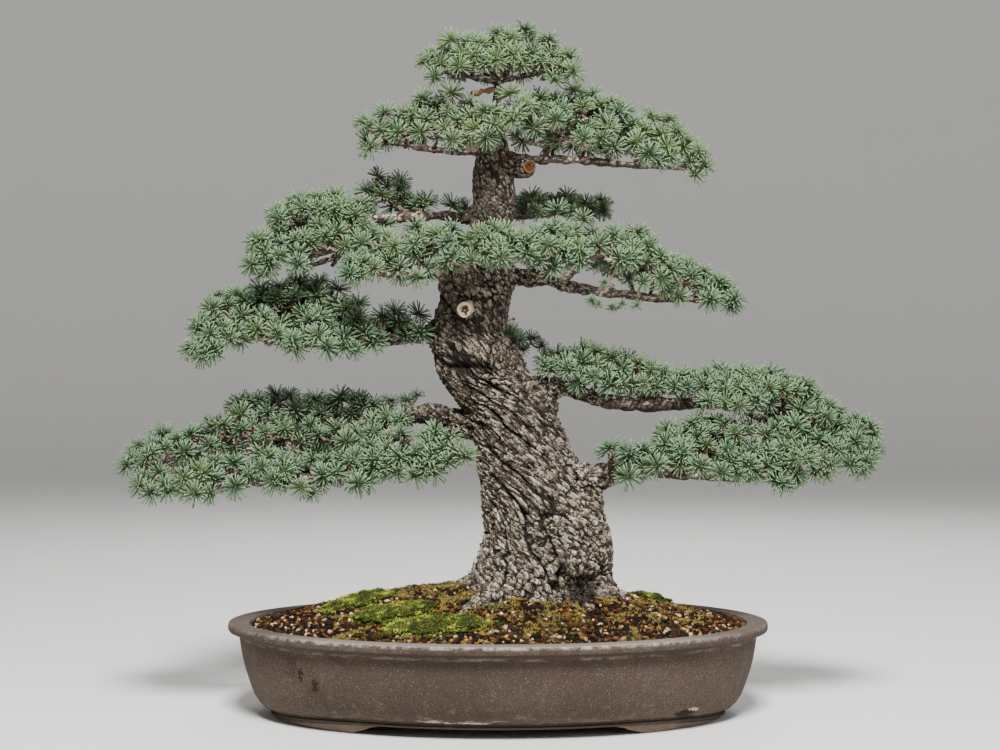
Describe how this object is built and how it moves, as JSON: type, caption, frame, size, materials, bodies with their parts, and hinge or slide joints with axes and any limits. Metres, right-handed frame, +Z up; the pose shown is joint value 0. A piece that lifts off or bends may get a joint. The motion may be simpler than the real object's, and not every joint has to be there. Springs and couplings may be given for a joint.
{
  "type": "cedar bonsai",
  "caption": "Bonsai conifer with a thick twisting trunk, tiered pads of short needle tufts, mossy gravel soil and an oval unglazed clay pot.",
  "frame": {"origin": "under the middle of the pot, on the surface that its feet stand on", "axes": "+X along the pot's length to the right as seen from the front, +Y from the front to the back, +Z up"},
  "size_m": [0.7695, 0.3894, 0.6892],
  "materials": {
    "unglazed_clay": "unglazed grey-brown clay with pale specks",
    "gravel_soil": "coarse brown, ochre and cream grains",
    "drain_plastic": "black drain mesh",
    "moss": "bright green moss cushion",
    "bark": "rough grey-brown flaky bark",
    "needles": "blue-green needles on brown twigs"
  },
  "bodies": {
    "root": {"pot": "unglazed_clay", "soil": "gravel_soil", "drain_mesh_left": "drain_plastic", "drain_mesh_right": "drain_plastic", "moss_1": "moss", "moss_2": "moss", "moss_3": "moss", "moss_4": "moss", "trunk": "bark", "branch_crown": "needles", "branch_upper_left": "needles", "branch_upper_right": "needles", "branch_high_left": "needles", "branch_front": "needles", "branch_middle_right": "needles", "branch_back_right": "needles", "branch_middle_left": "needles", "branch_back": "needles", "branch_low_right": "needles", "branch_low_front_right": "needles", "branch_low_left": "needles"}
  },
  "joints": []
}
